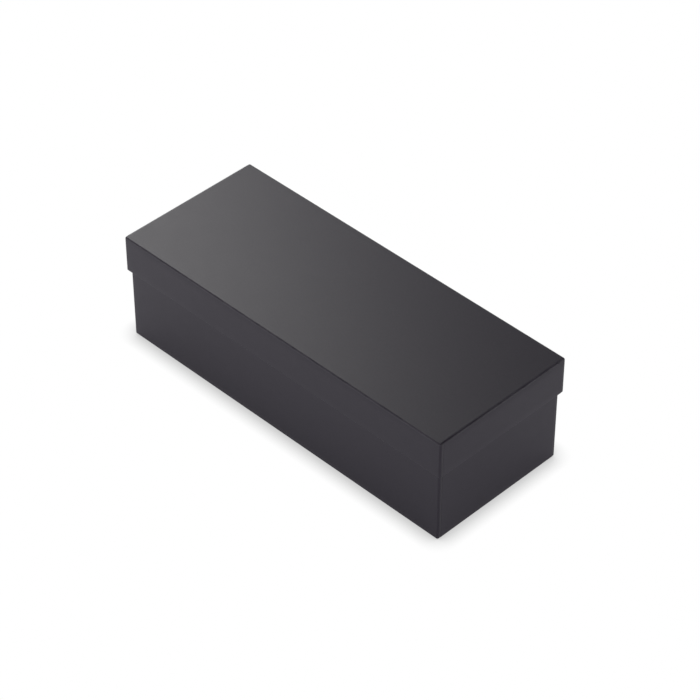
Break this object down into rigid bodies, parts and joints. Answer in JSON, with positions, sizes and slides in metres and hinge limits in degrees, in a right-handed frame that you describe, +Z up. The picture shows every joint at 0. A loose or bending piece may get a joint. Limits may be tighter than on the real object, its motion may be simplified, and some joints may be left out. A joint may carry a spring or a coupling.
{
  "type": "board game box",
  "caption": "Plain black rigid paper-wrapped box for a board game: an open rectangular base under a shallow lid that telescopes over its rim and lifts straight off.",
  "frame": {"origin": "middle of the underside of the base, on the surface that the box stands on", "axes": "+X along the length, +Y across the width, +Z up through the lid"},
  "size_m": [0.3002, 0.119, 0.0873],
  "materials": {
    "wrap_paper": "satin black covering paper",
    "lining_paper": "matt black lining paper",
    "greyboard": "uncoated grey board",
    "stay_tape": "brown kraft tape"
  },
  "bodies": {
    "base": {"base_board": "greyboard", "base_lining": "lining_paper", "base_wrap": "wrap_paper", "base_stay_left_front": "stay_tape", "base_stay_right_front": "stay_tape", "base_stay_right_back": "stay_tape", "base_stay_left_back": "stay_tape"},
    "lid": {"lid_board": "greyboard", "lid_lining": "lining_paper", "lid_wrap": "wrap_paper", "lid_stay_left_front": "stay_tape", "lid_stay_right_front": "stay_tape", "lid_stay_right_back": "stay_tape", "lid_stay_left_back": "stay_tape"}
  },
  "joints": [
    {"name": "lid_lift", "type": "slide", "parent": "base", "child": "lid", "axis": [0, 0, 1], "range_m": [0, 0.15]}
  ]
}
